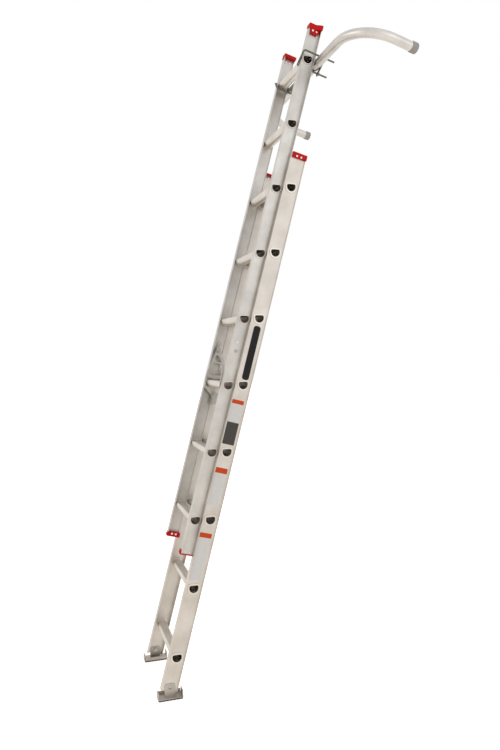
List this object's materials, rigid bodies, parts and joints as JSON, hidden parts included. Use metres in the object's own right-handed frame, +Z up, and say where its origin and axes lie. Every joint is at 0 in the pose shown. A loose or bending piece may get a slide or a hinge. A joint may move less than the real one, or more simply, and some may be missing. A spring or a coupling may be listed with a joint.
{
  "type": "extension ladder",
  "caption": "Leaning two-section aluminium extension ladder with D-rungs, swivel shoes, swinging rung locks and a U-shaped stand-off bar on the top.",
  "frame": {"origin": "on the floor, at the middle of the space the leaning ladder takes up", "axes": "+Z up, +Y towards the wall the ladder leans on, +X along the rungs to the climber's right"},
  "size_m": [1.1628, 1.0256, 2.9913],
  "materials": {
    "rail_aluminium": "satin mill-finish extrusion",
    "rung_aluminium": "satin mill-finish extrusion",
    "rivet_aluminium": "bright domed rivets",
    "red_plastic": "moulded, slightly glossy",
    "shoe_rubber": "matt ribbed tread rubber",
    "shoe_aluminium": "dull pressed aluminium",
    "zinc_fastener": "bright zinc plate",
    "lock_aluminium": "satin casting",
    "lock_steel": "zinc-plated pressed steel",
    "tube_aluminium": "satin drawn tube",
    "grey_rubber": "matt non-marking rubber",
    "dark_zinc": "dark zinc-plated steel",
    "label_film": "printed vinyl film, plain blocks of colour"
  },
  "bodies": {
    "base": {"base_cap_rivets": "rivet_aluminium", "base_rail_left": "rail_aluminium", "base_rail_right": "rail_aluminium", "base_rung_1": "rung_aluminium", "base_rung_2": "rung_aluminium", "base_rung_3": "rung_aluminium", "base_rung_4": "rung_aluminium", "base_rung_5": "rung_aluminium", "base_rung_6": "rung_aluminium", "base_rung_7": "rung_aluminium", "base_rung_8": "rung_aluminium", "base_top_cap_left": "red_plastic", "base_top_cap_right": "red_plastic", "shoe_pivot_bolt_left": "zinc_fastener", "shoe_pivot_bolt_right": "zinc_fastener"},
    "fly": {"clamp_plate_left": "dark_zinc", "clamp_plate_right": "dark_zinc", "clamp_saddle_left": "dark_zinc", "clamp_saddle_right": "dark_zinc", "fly_bottom_cap_left": "red_plastic", "fly_bottom_cap_right": "red_plastic", "fly_bottom_rivets": "rivet_aluminium", "fly_rail_left": "rail_aluminium", "fly_rail_right": "rail_aluminium", "fly_rung_1": "rung_aluminium", "fly_rung_2": "rung_aluminium", "fly_rung_3": "rung_aluminium", "fly_rung_4": "rung_aluminium", "fly_rung_5": "rung_aluminium", "fly_rung_6": "rung_aluminium", "fly_rung_7": "rung_aluminium", "fly_rung_8": "rung_aluminium", "fly_top_cap_left": "red_plastic", "fly_top_cap_right": "red_plastic", "fly_top_rivets": "rivet_aluminium", "lock_bracket_left": "lock_steel", "lock_bracket_right": "lock_steel", "lock_bracket_rivets": "rivet_aluminium", "lock_pivot_bolt_left": "zinc_fastener", "lock_pivot_bolt_right": "zinc_fastener", "stabilizer_end_cap_left": "grey_rubber", "stabilizer_end_cap_right": "grey_rubber", "stabilizer_tube": "tube_aluminium", "ubolt_left": "dark_zinc", "ubolt_nuts_left": "dark_zinc", "ubolt_nuts_right": "dark_zinc", "ubolt_right": "dark_zinc"},
    "lock_right": {"rung_lock_right": "lock_aluminium", "flipper_pin_right": "zinc_fastener"},
    "flipper_right": {"lock_flipper_right": "lock_steel"},
    "shoe_right": {"shoe_bracket_right": "shoe_aluminium", "shoe_pad_right": "shoe_rubber"},
    "lock_left": {"rung_lock_left": "lock_aluminium", "flipper_pin_left": "zinc_fastener"},
    "flipper_left": {"lock_flipper_left": "lock_steel"},
    "shoe_left": {"shoe_bracket_left": "shoe_aluminium", "shoe_pad_left": "shoe_rubber"}
  },
  "joints": [
    {"name": "fly_slide", "type": "slide", "parent": "base", "child": "fly", "axis": [0, 0.247, 0.969], "range_m": [0, 0.9144]},
    {"name": "lock_swing_right", "type": "hinge", "parent": "fly", "child": "lock_right", "pos_m": [0.1365, -0.15309, 1.50155], "axis": [-1, 0, 0], "range_deg": [0, 20]},
    {"name": "flipper_hinge_right", "type": "hinge", "parent": "lock_right", "child": "flipper_right", "pos_m": [0.1315, -0.17805, 1.29429], "axis": [1, 0, 0], "range_deg": [0, 75]},
    {"name": "shoe_swivel_right", "type": "hinge", "parent": "base", "child": "shoe_right", "pos_m": [0.1886, -0.45883, 0.047], "axis": [1, 0, 0], "range_deg": [-34.3, 5.7]},
    {"name": "lock_swing_left", "type": "hinge", "parent": "fly", "child": "lock_left", "pos_m": [-0.1365, -0.15309, 1.50155], "axis": [-1, 0, 0], "range_deg": [0, 20]},
    {"name": "flipper_hinge_left", "type": "hinge", "parent": "lock_left", "child": "flipper_left", "pos_m": [-0.1315, -0.17805, 1.29429], "axis": [1, 0, 0], "range_deg": [0, 75]},
    {"name": "shoe_swivel_left", "type": "hinge", "parent": "base", "child": "shoe_left", "pos_m": [-0.1886, -0.45883, 0.047], "axis": [1, 0, 0], "range_deg": [-34.3, 5.7]}
  ]
}
